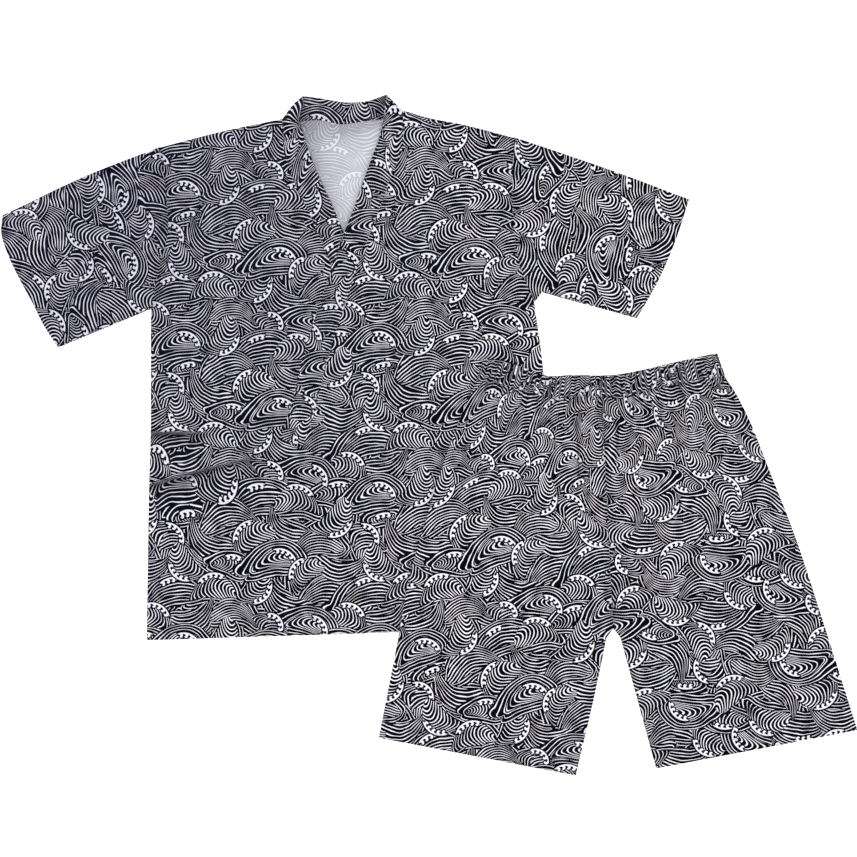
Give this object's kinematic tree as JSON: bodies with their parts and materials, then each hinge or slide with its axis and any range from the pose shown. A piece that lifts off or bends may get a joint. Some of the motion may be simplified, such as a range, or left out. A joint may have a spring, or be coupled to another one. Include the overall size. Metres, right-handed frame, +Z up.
{
  "type": "jinbei set laid flat",
  "caption": "Jinbei set laid flat: a short-sleeved wrap top with a collar band to the waist, and gathered-waist shorts lying over its lower corner, in cotton with a wave print.",
  "frame": {"origin": "middle of the set's outline, on the surface that it lies on", "axes": "+X towards the wearer's left side, which is right in a view from above; +Y from the hems to the collar; +Z up from the surface"},
  "size_m": [1.228, 0.976, 0.0096],
  "materials": {
    "printed_cotton": "plain-woven cotton, matt, navy with a white line print of waves"
  },
  "bodies": {
    "root": {"top_back": "printed_cotton", "top_front_right": "printed_cotton", "top_front_left": "printed_cotton", "top_sleeve_right": "printed_cotton", "top_sleeve_left": "printed_cotton", "top_collar_back": "printed_cotton", "top_collar_right": "printed_cotton", "top_collar_left": "printed_cotton", "shorts_waistband": "printed_cotton", "shorts_right_front": "printed_cotton", "shorts_right_back": "printed_cotton", "shorts_left_front": "printed_cotton", "shorts_left_back": "printed_cotton"}
  },
  "joints": []
}
